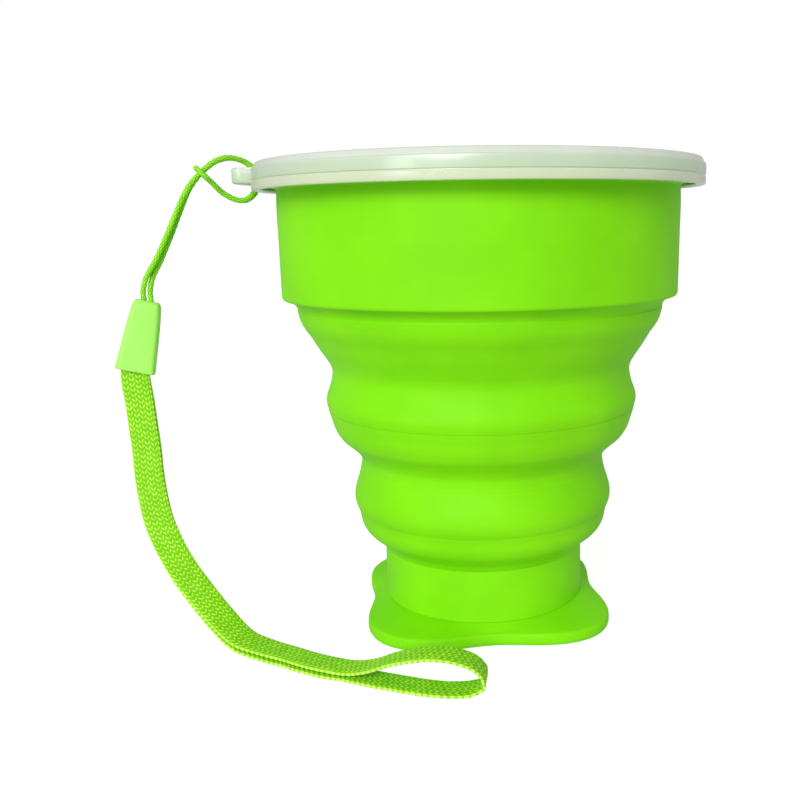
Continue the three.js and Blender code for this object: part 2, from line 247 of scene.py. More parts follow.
# Each point: where the doubled cord's middle is, then which way the first strand parts from it.
CORD_LEGS = [
    [-60.91, -3.63, 58.06, -0.97, -0.24, 0.24],
    [-60.55, -3.42, 59.9, -0.97, -0.24, 0.24],
    [-60.7, -3.2, 61.3, -0.9, -0.45, 0.2],
    [-60.1, -3.0, 63.9, -0.65, -0.74, 0.2],
    [-58.1, -2.8, 67.4, -0.35, -0.92, 0.2],
    [-56.0, -2.5, 71.7, -0.22, -0.98, 0.19],
    [-54.2, -2.0, 75.8, -0.1, -0.99, 0.15],
    [-52.1, -1.5, 80.0, 0.1, -0.99, 0.05],
    [-50.15, -1.0, 82.4, 0.25, -0.97, 0.0],
    [-49.1, -0.5, 83.45, 0.25, -0.97, 0.0],
    [-47.55, 0.5, 84.7, 0.2, -0.98, 0.0],
    [-45.8, 1.6, 85.3, 0.1, -1.0, 0.0],
    [-44.35, 2.8, 85.2, 0.05, -1.0, 0.0],
    [-43.1, 3.75, 84.7, 0.0, -1.0, 0.0],
    [-42.1, 4.2, 83.85, -0.05, -1.0, 0.0],
    [-41.35, 4.3, 82.4, -0.1, -0.99, 0.0],
    [-41.15, 4.3, 80.8, -0.1, -0.99, 0.0],
    [-41.7, 4.05, 79.1, 0.0, -1.0, 0.0],
    [-43.1, 3.3, 77.85, 0.1, -1.0, 0.0],
    [-44.75, 2.5, 77.85, 0.15, -1.0, 0.0],
    [-46.9, 1.4, 79.1, 0.2, -1.25, 0.0],
    [-48.3, 0.3, 80.75, 0.5, -2.2, 0.0],
    [-49.35, -0.5, 81.95, 0.7, -2.75, 0.0],
    [-50.25, -0.9, 82.9, 0.6, -2.2, 0.0],
]
CORD_BIGHT = [-50.75, -1.05, 83.4]

legs = np.array(CORD_LEGS)
strands = [legs[:, :3] + side * STRAND_GAP * legs[:, 3:] for side in (1, -1)]
cord_points = np.vstack([strands[0], [CORD_BIGHT], strands[1][::-1]])
cord_line = spaced(spline(cord_points), CORD_STEP)
cord_length = along(cord_line)[-1]
print("cord length, mm:", round(cord_length, 1))

# %% [markdown]
# A braided cord isn't smooth: twelve yarns wind round it, six each way, over and under. At under
# a millimetre thick it would be wasteful to model each yarn, so the tube's own surface is moved
# in and out by the braid's pattern. Two spirals that run opposite ways share the surface like a
# chequerboard, and each one rises into a rounded bead where it lies on top.


# %% The braided cord
CORD_YARNS = 12
CORD_COLUMNS = 36
BRAID_RELIEF = 0.06
BRAID_LAY = 1.15
BRAID_ROUNDNESS = 0.6


def braid_height(turn_angle, distance, yarns, lay):
    """From 0 to 1: the beads of a round braid, at an angle round it and a distance along it."""
    one_way = yarns * turn_angle / 2 + 2 * np.pi * distance / lay
    other_way = yarns * turn_angle / 2 - 2 * np.pi * distance / lay
    return np.abs(np.sin(one_way / 2) * np.sin(other_way / 2)) ** BRAID_ROUNDNESS


def carried_frames(line):
    """Two directions across a line that turn as little as they can along it."""
    forward = directions(line)
    across = np.zeros_like(forward)
    across[0] = unit(np.cross(forward[0], [0.3, 1.0, 0.2]))
    for i in range(1, len(line)):
        moved = across[i - 1] - forward[i] * np.dot(across[i - 1], forward[i])
        across[i] = unit(moved)
    return across, np.cross(forward, across)


across, over = carried_frames(cord_line)
angles = np.linspace(0, 2 * np.pi, CORD_COLUMNS, endpoint=False)
heights = braid_height(angles[None, :], along(cord_line)[:, None], CORD_YARNS, BRAID_LAY)
radii = CORD_DIAMETER / 2 - BRAID_RELIEF / 2 + BRAID_RELIEF * heights
cord_rings = (
    cord_line[:, None, :]
    + radii[..., None] * (np.cos(angles)[None, :, None] * across[:, None, :]
                          + np.sin(angles)[None, :, None] * over[:, None, :])
)
cord = swept("wrist_cord_braid", cord_rings)


def store_relief(piece, values):
    """Keeps how high each point stands in its weave, for the finish's painted shade and highlight."""
    relief = piece.data.attributes.new("relief", "FLOAT", "POINT")
    flat = np.asarray(values, np.float32).ravel()
    if len(flat) != len(piece.data.vertices):
        raise ValueError(f"{piece.name}: {len(flat)} values for {len(piece.data.vertices)} points")
    relief.data.foreach_set("value", flat)


store_relief(cord, heights)
print("cord points:", len(cord.data.vertices))

# %% [markdown]
# The wrist strap is a flat braid, five millimetres wide, folded into a loop. Both its ends are
# held in the clip. The two layers hang face to the front, turn, and come to rest on the table one
# on the other, and the far end stands open like a drop.
#
# It is a line again, but each point of it also says which way the strap's width runs, because a
# flat strap has to be told how it twists. The strap is declared as two legs, from the clip to the
# nose of the loop and back, and the legs meet on the underside, where it can't be seen.

# %% The strap's route
STRAP_WIDTH = 5.1
STRAP_THICKNESS = 0.8
STRAP_STEP = 0.12
LAYER_OFFSET = 0.55
# Each point: where the doubled strap's middle is, then which way its width runs.
STRAP_LEGS = [
    [-62.75, -4.68, 49.7, 0.97, 0.24, -0.24],
    [-63.3, -5.0, 46.6, 0.98, 0.2, -0.2],
    [-62.6, -5.8, 41.6, 1.0, 0.05, -0.03],
    [-61.96, -6.8, 37.35, 1.0, 0.07, 0.07],
    [-61.27, -7.9, 33.1, 1.0, 0.1, 0.14],
    [-60.7, -9.2, 28.9, 1.0, 0.13, 0.17],
    [-59.82, -10.6, 24.8, 1.0, 0.17, 0.2],
    [-58.54, -12.1, 20.7, 1.0, 0.24, 0.23],
    [-56.39, -13.8, 16.7, 1.0, 0.35, 0.24],
    [-53.65, -15.7, 12.85, 1.0, 0.5, 0.22],
    [-50.19, -17.7, 9.1, 1.0, 0.6, 0.18],
    [-46.31, -20.1, 5.55, 1.0, 0.75, 0.12],
    [-41.9, -22.9, 2.65, 0.95, 1.0, 0.05],
    [-37.1, -24.8, 1.55, 0.78, 1.2, 0.02],
    [-33.0, -26.4, 1.12, 0.62, 1.3, 0.0],
    [-29.2, -28.5, 1.0, 0.5, 1.3, 0.0],
    [-25.6, -30.2, 1.0, 0.45, 1.3, 0.0],
    [-22.0, -31.5, 1.05, 0.42, 1.3, 0.0],
]
STRAP_LOOP = [
    [-18.5, -32.9, 2.6, 0.4, 1.3, 0.0],
    [-14.9, -34.1, 4.3, 0.38, 1.3, 0.0],
    [-11.6, -35.2, 5.45, 0.36, 1.3, 0.0],
    [-8.3, -36.1, 6.15, 0.3, 1.3, 0.0],
    [-5.2, -36.6, 6.1, 0.24, 1.3, 0.0],
    [-2.6, -36.5, 5.2, 0.2, 1.3, 0.0],
    [-0.9, -36.2, 3.9, 0.16, 1.3, 0.0],
    [-0.1, -36.1, 2.5, 0.14, 1.3, 0.0],
    [-0.4, -36.3, 1.25, 0.16, 1.3, 0.0],
    [-2.0, -36.8, 0.58, 0.2, 1.3, 0.0],
    [-5.4, -37.1, 0.49, 0.26, 1.3, 0.0],
    [-9.6, -36.3, 0.49, 0.32, 1.3, 0.0],
    [-13.9, -34.8, 0.49, 0.36, 1.3, 0.0],
    [-17.9, -33.3, 0.49, 0.4, 1.3, 0.0],
]

PER_SPAN = 12
rows = np.array(STRAP_LEGS)
rows[:, 3:] = unit(rows[:, 3:])
middle = spline(rows[:, :3], PER_SPAN)
faces_out = unit(np.cross(directions(middle)[::PER_SPAN], rows[:, 3:]))


def layer(side):
    """One layer of the doubled strap: its middle moved out to that side."""
    moved = rows.copy()
    moved[:, :3] += side * LAYER_OFFSET * faces_out
    return moved


loop = np.array(STRAP_LOOP)
loop[:, 3:] = unit(loop[:, 3:])
strap_rows = np.vstack([layer(1), loop, layer(-1)[::-1]])
strap_path = spline(strap_rows[:, :3], PER_SPAN)
strap_sides = np.stack([
    np.interp(np.arange(len(strap_path)) / PER_SPAN, np.arange(len(strap_rows)), strap_rows[:, k])
    for k in (3, 4, 5)
], axis=1)
strap_line = spaced(np.hstack([strap_path, strap_sides]), STRAP_STEP)
strap_length = along(strap_line)[-1]
print("strap length, mm:", round(strap_length, 1))

# %% [markdown]
# Up close the strap is rows of little V-shaped stitches, four to the width, each V two slanted
# yarns that meet in the middle. The stitches are real bumps, so that light and shadow find them
# from any side. Each point of the strap's face asks the stitch pattern how high it stands. Along
# both edges the yarns turn back, which leaves a row of small round loops.


# %% The stitches and the two legs of the strap
STITCH_COLUMNS = 4
STITCH_PITCH = 0.95
STITCH_RELIEF = 0.13
EDGE_RELIEF = 0.12
EDGE_INSET = 0.3
EDGE_BULGE = 0.18
BACK_FACE_SHIFT = 0.3
EDGE_THINNING = 0.25
FACE_POINTS = 33
EDGE_POINTS = 5
LEG_SHARE = 0.535


def stitch_height(across_share, distance):
    """From 0 to 1: V-shaped stitches. across_share is from -1 to 1 over the strap's width."""
    place = (across_share + 1) / 2 * STITCH_COLUMNS
    column = np.clip(np.floor(place), 0, STITCH_COLUMNS - 1)
    in_column = (place - column) * 2 - 1
    slant = np.abs(in_column) * 0.75
    shift = 0.5 * (column % 2)
    phase = distance / STITCH_PITCH + slant + shift
    bead = (0.5 + 0.5 * np.cos(2 * np.pi * phase)) ** 2.0
    ridge = np.clip(1 - (2 * np.abs(in_column) - 1) ** 2, 0, 1) ** 0.9
    return bead * (0.2 + 0.8 * ridge)


def strap_section():
    """The share across, the share of thickness and which face, round the strap's edge."""
    face = np.linspace(-1, 1, FACE_POINTS)
    turn_back = np.linspace(-np.pi / 2, np.pi / 2, EDGE_POINTS + 2)[1:-1]
    across_share = np.concatenate([face, np.ones(EDGE_POINTS), face[::-1], -np.ones(EDGE_POINTS)])
    thick_share = np.concatenate([
        np.ones(FACE_POINTS), -np.sin(turn_back), -np.ones(FACE_POINTS), np.sin(turn_back),
    ])
    bulge = np.concatenate([
        np.zeros(FACE_POINTS), np.cos(turn_back), np.zeros(FACE_POINTS), -np.cos(turn_back),
    ])
    return across_share, thick_share, bulge


def strap_leg(name, line, start):
    """A leg of the strap along line, whose stitches carry on from the distance start."""
    forward = directions(line)
    side = unit(line[:, 3:] - forward * np.sum(line[:, 3:] * forward, axis=1, keepdims=True))
    out = np.cross(forward, side)
    across_share, thick_share, bulge = strap_section()
    distance = (start + along(line))[:, None]
    on_face = np.abs(bulge) < 1e-9
    stitch_start = distance + BACK_FACE_SHIFT * (thick_share < 0)[None, :]
    height = stitch_height(across_share[None, :], stitch_start)
    loops = (0.5 + 0.5 * np.cos(2 * np.pi * distance / STITCH_PITCH)) ** 0.6
    height = np.where(on_face[None, :], height, 0.3 + 0.7 * loops)
    pillow = 1 - EDGE_THINNING * np.abs(across_share) ** 6
    half = STRAP_THICKNESS / 2 - STITCH_RELIEF / 2
    thick = thick_share * (half * pillow) + np.sign(thick_share) * on_face * STITCH_RELIEF * height
    wide = across_share * (STRAP_WIDTH / 2 - EDGE_INSET) + bulge * (EDGE_BULGE + EDGE_RELIEF * height)
    rings = (
        line[:, None, :3]
        + wide[..., None] * side[:, None, :]
        + thick[..., None] * out[:, None, :]
    )
    leg = swept(name, rings, sharp_angle=80)
    store_relief(leg, height)
    return leg


# The legs meet on the underside, a little way back from the nose.
halfway = int(len(strap_line) * LEG_SHARE)
strap_front = strap_leg("strap_front_leg", strap_line[:halfway + 1], 0.0)
strap_back = strap_leg("strap_back_leg", strap_line[halfway:], along(strap_line)[halfway])
print("strap points:", len(strap_front.data.vertices) + len(strap_back.data.vertices))

# %% [markdown]
# The cup is one moulding of soft silicone. From the top down it has a lip that the lid grips, a
# tall straight band, and then a ring, a ring and a base, each smaller than the one above. The
# walls between them are thin, so they fold inside out and let each ring slide up into the next.
#
# One outline turned round an axis gives the whole wall. The outline is drawn as short lists of
# (radius, height), one list for each stretch between two creases, because a crease is where the
# moulding tool has an edge. Each stretch is a smooth line through its points.
#
# The wall is built as three skins that meet at the two lines where the real moulding shows a fine
# step, under the fullest part of each ring. That way each skin crosses just one fold.


# %% The three silicone skins
def stretches(*parts):
    """One outline from several smooth stretches; each begins where the one before it ends."""
    outline = []
    for part in parts:
        part = np.asarray(part, float)
        line = part if len(part) == 2 else spline(part, 8)
        outline.extend(line if not outline else line[1:])
    return np.array(outline)


def straight(start, end, count):
    """A straight stretch cut into short lengths."""
    share = np.linspace(0, 1, count)[:, None]
    return (1 - share) * np.array(start, float) + share * np.array(end, float)


UPPER_SEAM = 39.75
LOWER_SEAM = 20.55
SEAM_GAP = 0.01

upper_outside = stretches(
    [(28.57, UPPER_SEAM + SEAM_GAP), (28.6, UPPER_SEAM + 0.08)],
    [(28.6, UPPER_SEAM + 0.08), (28.82, 40.6), (28.92, 41.5), (28.72, 42.5), (28.3, 43.6),
     (27.95, 44.8), (27.72, 45.9), (27.66, 46.9), (27.95, 48.0), (28.62, 49.2), (30.05, 51.4),
     (31.35, 53.6), (32.2, 54.8), (32.8, 55.9), (33.14, 57.0), (33.38, 58.05)],
    [(33.38, 58.05), (33.26, 58.25)],
    [(33.26, 58.25), (33.44, 58.7), (33.84, 59.25), (34.5, 59.75), (35.3, 60.05)],
    [(35.3, 60.05), (35.72, 60.15), (35.93, 60.45), (35.98, 61.1)],
    straight((35.98, 61.1), (36.1, 76.5), 12),
    [(36.1, 76.5), (36.0, 78.9)],
    [(36.0, 78.9), (36.15, 79.25), (36.6, 79.5), (37.2, 79.62)],
    [(37.2, 79.62), (37.9, 79.8), (38.28, 80.3)],
    [(38.28, 80.3), (38.3, 81.2)],
    [(38.3, 81.2), (38.15, 81.7), (37.6, 81.9)],
)
upper_inside = stretches(
    [(34.7, 81.9), (34.25, 81.75), (34.1, 81.3)],
    straight((34.1, 81.3), (34.1, 62.0), 14),
    [(34.1, 62.0), (33.9, 61.3), (33.2, 60.6), (32.5, 59.9), (32.1, 58.9), (31.9, 57.8),
     (31.6, 56.7), (31.1, 55.6), (30.2, 54.2), (29.0, 52.3), (27.5, 49.9), (26.6, 48.4),
     (26.05, 47.2), (25.85, 46.2), (26.1, 44.9), (26.5, 43.7), (26.95, 42.4), (27.1, 41.4),
     (26.95, 40.4), (26.85, UPPER_SEAM + SEAM_GAP)],
)
middle_outside = stretches(
    [(23.76, LOWER_SEAM + SEAM_GAP), (23.8, LOWER_SEAM + 0.08)],
    [(23.8, LOWER_SEAM + 0.08), (24.1, 21.3), (24.36, 22.3), (24.36, 23.4), (24.05, 24.8),
     (23.62, 26.1), (23.28, 27.3), (23.04, 28.3), (22.98, 28.8)],
    [(22.98, 28.8), (22.86, 28.95)],
    [(22.86, 28.95), (22.85, 29.6), (23.0, 30.6), (23.75, 31.8), (25.05, 33.1), (26.5, 34.4),
     (27.3, 35.6), (27.78, 36.7), (28.12, 37.9), (28.42, 38.9), (28.63, UPPER_SEAM - 0.04)],
    [(28.63, UPPER_SEAM - 0.04), (28.62, UPPER_SEAM - SEAM_GAP)],
)
middle_inside = stretches(
    [(26.85, UPPER_SEAM - SEAM_GAP), (26.6, 38.9), (26.3, 37.8), (26.0, 36.8), (25.4, 35.8),
     (24.3, 34.6), (22.9, 33.2), (21.9, 31.9), (21.3, 30.6), (21.1, 29.3), (21.2, 28.0),
     (21.6, 26.4), (22.1, 24.8), (22.5, 23.4), (22.5, 22.2), (22.1, LOWER_SEAM + SEAM_GAP)],
)
base_outside = stretches(
    [(0.0, 3.45), (18.93, 3.45)],
    [(18.93, 3.45), (18.99, 3.5)],
    straight((18.99, 3.5), (18.85, 12.5), 8),
    [(18.85, 12.5), (18.86, 12.9), (19.15, 13.3)],
    [(19.15, 13.3), (19.75, 14.1), (20.95, 15.15), (22.35, 16.4), (23.05, 17.5),
     (23.35, 18.4), (23.5, 19.4), (23.66, 20.1), (23.75, LOWER_SEAM - SEAM_GAP)],
)
base_inside = stretches(
    [(22.1, LOWER_SEAM - SEAM_GAP), (21.8, 19.2), (21.45, 17.9), (20.6, 16.9), (19.1, 15.6),
     (17.9, 14.5), (17.3, 13.3), (17.1, 11.9)],
    straight((17.1, 11.9), (17.2, 6.6), 6),
    [(17.2, 6.6), (17.0, 5.9), (16.5, 5.52), (15.8, 5.4)],
    [(15.8, 5.4), (0.0, 5.4)],
)


SKIN_STEPS = 256
CREASE_ANGLE = 15
upper_skin = turned(
    "silicone_rim_and_ring", np.vstack([upper_outside, upper_inside]), SKIN_STEPS, CREASE_ANGLE)
middle_skin = turned(
    "silicone_middle_web", np.vstack([middle_outside, middle_inside]), SKIN_STEPS, CREASE_ANGLE)
base_skin = turned_solid(
    "silicone_base", np.vstack([base_outside, base_inside]), SKIN_STEPS, CREASE_ANGLE)
silicone_skins = [upper_skin, middle_skin, base_skin]
for skin in silicone_skins:
    print(skin.name, "points:", len(skin.data.vertices))

# %% [markdown]
# Under the base is a foot, broader than the base so that a soft cup stands steady. Its edge runs
# in four gentle waves, which leave a corner between each pair to grip while the cup is pulled
# open. The edge is rounded top and bottom, with a faint line low down where the two halves of the
# tool met. From there the top slopes up a little, all the way in to the base, where it is round.

# %% The wavy foot
FOOT_RADIUS = 24.2
FOOT_WAVE = 2.8
FOOT_LOBES = 4
FOOT_TURN = math.radians(-40)
FOOT_STEPS = 320


def foot_ring(inset, height):
    """The foot's wavy outline, drawn in by inset, at a height."""
    angles = np.linspace(0, 2 * np.pi, FOOT_STEPS, endpoint=False)
    radius = FOOT_RADIUS - inset + FOOT_WAVE * np.cos(FOOT_LOBES * (angles - FOOT_TURN))
    return np.stack([
        radius * np.cos(angles), radius * np.sin(angles), np.full(FOOT_STEPS, height),
    ], axis=1)


# (how far in from the outline, height): in from the middle of the underside, up and over.
FOOT_EDGE = [
    (9.0, 0.0), (1.0, 0.0), (0.55, 0.03), (0.22, 0.16), (0.08, 0.38), (0.04, 0.52), (0.16, 0.6),
    (0.0, 0.68), (0.0, 1.2), (0.02, 1.6), (0.08, 1.9), (0.2, 2.12), (0.4, 2.27), (0.7, 2.36),
]
FOOT_MIDDLE = 19.03
FOOT_TOP = 3.44


def foot_slope(share):
    """The sloped top, from the wavy rim (share 0) to the round foot of the base (share 1)."""
    rim = foot_ring(*FOOT_EDGE[-1])
    angles = np.arctan2(rim[:, 1], rim[:, 0])
    round_ring = np.stack([
        FOOT_MIDDLE * np.cos(angles), FOOT_MIDDLE * np.sin(angles), np.full(FOOT_STEPS, FOOT_TOP),
    ], axis=1)
    return rim + share * (round_ring - rim)


foot_rings = [foot_ring(inset, height) for inset, height in FOOT_EDGE]
foot_rings += [foot_slope(share) for share in (0.25, 0.5, 0.75, 1.0)]
foot_rings = np.array(foot_rings)
silicone_foot = swept("silicone_foot", foot_rings, CREASE_ANGLE)

# %% [markdown]
# The lid is a milky, springy plastic, moulded thin. A shallow skirt grips the outside of the lip,
# and a ring under the plate plugs the inside. From the side it reads as two bands with a line
# between them, and a narrow sloped edge above. The plate's top can't be seen from here; a raised
# border around a slightly lower middle is the usual shape, so that is a guess.

# %% The lid
LID_BOTTOM = 79.0
LID_TOP = 83.7
LID_STEPS = 288
LID_OUTLINE = stretches(
    [(0.0, 83.25), (34.2, 83.25)],
    [(34.2, 83.25), (34.8, 83.3), (35.2, 83.55), (35.7, 83.68)],
    [(35.7, 83.68), (38.9, LID_TOP)],
    [(38.9, LID_TOP), (39.4, 83.58), (39.65, 83.25)],
    [(39.65, 83.25), (39.9, 82.7)],
    [(39.9, 82.7), (40.13, 82.55), (40.2, 82.3)],
    [(40.2, 82.3), (40.2, 80.75)],
    [(40.2, 80.75), (40.13, 80.66), (40.04, 80.6), (40.06, 80.5)],
    [(40.06, 80.5), (40.18, 80.35)],
    [(40.18, 80.35), (40.2, 79.4)],
    [(40.2, 79.4), (40.1, 79.1), (39.8, LID_BOTTOM)],
    [(39.8, LID_BOTTOM), (39.05, LID_BOTTOM)],
    [(39.05, LID_BOTTOM), (38.7, 79.12), (38.62, 79.45), (38.8, 79.85)],
    [(38.8, 79.85), (38.8, 81.8)],
    [(38.8, 81.8), (38.7, 82.1), (38.4, 82.2)],
    [(38.4, 82.2), (33.7, 82.2)],
    [(33.7, 82.2), (33.38, 82.05), (33.3, 81.8)],
    [(33.3, 81.8), (33.3, 78.4)],
    [(33.3, 78.4), (33.15, 78.08), (32.75, 78.0), (32.3, 78.08), (32.1, 78.4)],
    [(32.1, 78.4), (32.1, 81.8)],
    [(32.1, 81.8), (31.95, 82.05), (31.6, 82.2)],
    [(31.6, 82.2), (0.0, 82.2)],
)
lid = turned_solid("lid_milky", LID_OUTLINE, LID_STEPS, sharp_angle=28)

# %% [markdown]
# The tab is a small bail on the lid's left side: two short legs and a bar, which leave a slot for
# the cord. It is moulded in the same plastic and is one with the skirt. It is drawn as a rounded
# block, a smaller block is cut out of it for the slot, it is turned a little round the lid to
# where it sits, and then it is joined to the lid as one solid.

# %% The tab, joined to the lid
TAB_REACH = 45.0
TAB_HALF = 4.6
TAB_ROOT = 39.4
TAB_BOTTOM = 80.6
TAB_TOP = 83.5
SLOT_HALF = 1.9
SLOT_END = 42.9
SLOT_ROOT = 40.3
SLOT_MARGIN = 2
TAB_TURN = math.radians(6)
SOFT_EDGE_SHARES = (0.0, 0.3, 0.65, 1.0)
SQUARE_CORNER = 0.02


def rounded_block(name, low_x, high_x, half_y, low_z, high_z, corner, edge, round_far_side):
    """A block with rounded upright corners and softened edges above and below."""
    levels = []
    for share in SOFT_EDGE_SHARES:
        levels.append((edge * (1 - math.sin(share * math.pi / 2)), low_z + edge * share))
    for share in reversed(SOFT_EDGE_SHARES):
        levels.append((edge * (1 - math.sin(share * math.pi / 2)), high_z - edge * share))
    rings = []
    for inset, height in levels:
        outline = []
        for x, y, start in (
            (low_x, half_y, 90), (low_x, -half_y, 180), (high_x, -half_y, 270), (high_x, half_y, 0),
        ):
            near = x == low_x
            radius = corner if near or round_far_side else SQUARE_CORNER
            middle_x = x + radius if near else x - radius
            middle_y = y - math.copysign(radius, y)
            for angle in np.radians(np.linspace(start, start + 90, 9)):
                reach = max(radius - inset, 0.01)
                outline.append((
                    middle_x + reach * math.cos(angle),
                    middle_y + reach * math.sin(angle),
                    height,
                ))
        rings.append(outline)
    return swept(name, np.array(rings), sharp_angle=40)


tab = rounded_block("tab", -TAB_REACH, -TAB_ROOT, TAB_HALF, TAB_BOTTOM, TAB_TOP, 1.6, 0.35, False)
slot = rounded_block(
    "slot", -SLOT_END, -SLOT_ROOT, SLOT_HALF, TAB_BOTTOM - SLOT_MARGIN, TAB_TOP + SLOT_MARGIN,
    0.45, 0.1, True)


def combine(piece, other, how):
    """Joins or cuts two solids exactly, and removes the second."""
    step = piece.modifiers.new(how, "BOOLEAN")
    step.operation = how
    step.solver = "EXACT"
    step.object = other
    bpy.context.view_layer.update()
    result = bpy.data.meshes.new_from_object(
        piece.evaluated_get(bpy.context.evaluated_depsgraph_get()))
    piece.modifiers.clear()
    piece.data = result
    bpy.data.objects.remove(other)
    return piece


combine(tab, slot, "DIFFERENCE")
tab.data.transform(Matrix.Rotation(-TAB_TURN, 4, "Z"))
combine(lid, tab, "UNION")
print("lid points:", len(lid.data.vertices))

# %% [markdown]
# The clip is a small tapered sleeve of hard plastic in a paler lime than the strap. Both ends of
# the strap go up into its mouth, and the cord comes out of a small hole above. The knot that
# holds the cord sits inside. The clip hangs at a slant, so it is built upright around its own
# axis and then set down at the slant that the strap gives it.

# %% The clip and the knot
CLIP_FOOT = Vector((-63.3, -5.0, 47.2))
CLIP_HEAD = Vector((-60.5, -3.4, 59.95))
CLIP_SPIN = math.radians(14)
KNOT_HEIGHT = 9.0
KNOT_SIZE = (1.45, 0.9, 0.95)
KNOT_RINGS = 25
KNOT_COLUMNS = 48
KNOT_WRAPS = 3
KNOT_TWIST = 2.2
KNOT_RELIEF = 0.1
lean = Vector((0, 0, 1)).rotation_difference((CLIP_HEAD - CLIP_FOOT).normalized())
lean_rows = np.array(lean.to_matrix() @ Matrix.Rotation(CLIP_SPIN, 3, "Z"))


def leaned(points):
    """Points around the clip's upright axis, set down where the clip hangs."""
    return np.asarray(points, float) @ lean_rows.T + np.array(CLIP_FOOT)


def rounded_rectangle(half_wide, half_deep, radius, height, per_corner=8):
    """A level outline with round corners, counted anticlockwise from the right."""
    outline = []
    for sign_x, sign_y, start in ((1, 1, 0), (-1, 1, 90), (-1, -1, 180), (1, -1, 270)):
        for angle in np.radians(np.linspace(start, start + 90, per_corner)):
            outline.append((
                sign_x * (half_wide - radius) + radius * math.cos(angle),
                sign_y * (half_deep - radius) + radius * math.sin(angle),
                height,
            ))
    return outline


# (half width, half depth, corner radius, height): up the outside, then down the inside.
CLIP_RINGS = [
    (3.3, 1.65, 0.7, 0.0), (3.42, 1.75, 0.8, 0.06), (3.475, 1.8, 0.85, 0.22),
    (3.44, 1.8, 0.85, 0.8), (3.28, 1.8, 0.85, 3.0), (3.1, 1.8, 0.85, 5.6),
    (2.9, 1.8, 0.85, 8.1), (2.72, 1.8, 0.85, 10.0), (2.6, 1.78, 0.85, 11.1),
    (2.52, 1.72, 0.85, 11.85), (2.38, 1.6, 0.8, 12.45), (2.2, 1.45, 0.7, 12.84),
    (2.02, 1.3, 0.6, 13.03), (1.85, 1.15, 0.5, 13.1), (1.5, 0.95, 0.45, 13.1),
    (1.42, 0.87, 0.4, 13.02), (1.38, 0.82, 0.35, 12.8), (1.38, 0.82, 0.35, 11.3),
    (1.8, 1.1, 0.3, 10.3), (2.05, 1.2, 0.3, 9.5), (2.4, 1.22, 0.3, 6.3),
    (2.86, 1.24, 0.3, 0.3), (2.94, 1.32, 0.35, 0.08), (3.05, 1.42, 0.4, 0.0),
]
rings = np.array([leaned(rounded_rectangle(*ring)) for ring in CLIP_RINGS])
clip_rows, clip_columns, _ = rings.shape
strap_clip_shell = new_piece(
    "strap_clip_shell", rings.reshape(-1, 3), ring_faces(clip_rows, clip_columns, True), 35)

# The knot is an egg whose surface rises in three slanting wraps of cord.
knot_wide, knot_deep, knot_half_tall = KNOT_SIZE
turns = np.linspace(0, 2 * np.pi, KNOT_COLUMNS, endpoint=False)
knot_rings = []
knot_heights = []
for rise in np.linspace(-0.97, 0.97, KNOT_RINGS):
    bulge = math.sqrt(1 - rise * rise)
    wraps = 0.5 + 0.5 * np.cos(KNOT_WRAPS * (turns + KNOT_TWIST * rise))
    size = 1 + KNOT_RELIEF * (wraps - 1)
    knot_rings.append(leaned(np.stack([
        knot_wide * bulge * size * np.cos(turns),
        knot_deep * bulge * size * np.sin(turns),
        np.full(KNOT_COLUMNS, KNOT_HEIGHT + knot_half_tall * rise),
    ], axis=1)))
    knot_heights.append(wraps)
cord_knot_tied = swept("cord_knot_tied", np.array(knot_rings))
# The wraps' heights drive the finish's painted shade between them and painted highlight on top.
store_relief(cord_knot_tied, knot_heights)
print("clip points:", len(strap_clip_shell.data.vertices))

# %% [markdown]
# The finishes share two effects, so each is made once, as a small group of nodes. One is a faint
# mottle, the way that soft silicone and thin plastic are never quite even in colour. The other is
# yarn: it takes how high each point stands in its weave, puts painted shade in the gaps and a
# painted highlight on the crowns, and breaks both up a little, because no two yarns catch light
# alike.


# %% Two shared effects
def add(tree, kind, place, values=None, **settings):
    """A node of that kind, its settings and its unlinked inputs."""
    node = tree.nodes.new(kind)
    node.location = (place[0] * 220, place[1] * -220)
    for setting, value in settings.items():
        setattr(node, setting, value)
    for socket, value in (values or {}).items():
        node.inputs[socket].default_value = value
    return node


def effect(name, outputs):
    """An empty group with the given outputs, and the node that collects them."""
    group = bpy.data.node_groups.new(name, "ShaderNodeTree")
    for output, kind in outputs:
        group.interface.new_socket(output, in_out="OUTPUT", socket_type=kind)
    return group, group.nodes.new("NodeGroupOutput")


mottle, mottle_out = effect("mottle", [("Cloud", "NodeSocketFloat"), ("Grain", "NodeSocketFloat")])
place = add(mottle, "ShaderNodeTexCoord", (0, 0))
cloud = add(mottle, "ShaderNodeTexNoise", (1, 0), {"Scale": 55.0, "Detail": 3.0, "Roughness": 0.55})
grain = add(mottle, "ShaderNodeTexNoise", (1, 1), {"Scale": 2600.0, "Detail": 2.0, "Roughness": 0.6})
for noise in (cloud, grain):
    mottle.links.new(place.outputs["Object"], noise.inputs["Vector"])
mottle.links.new(cloud.outputs["Fac"], mottle_out.inputs["Cloud"])
mottle.links.new(grain.outputs["Fac"], mottle_out.inputs["Grain"])

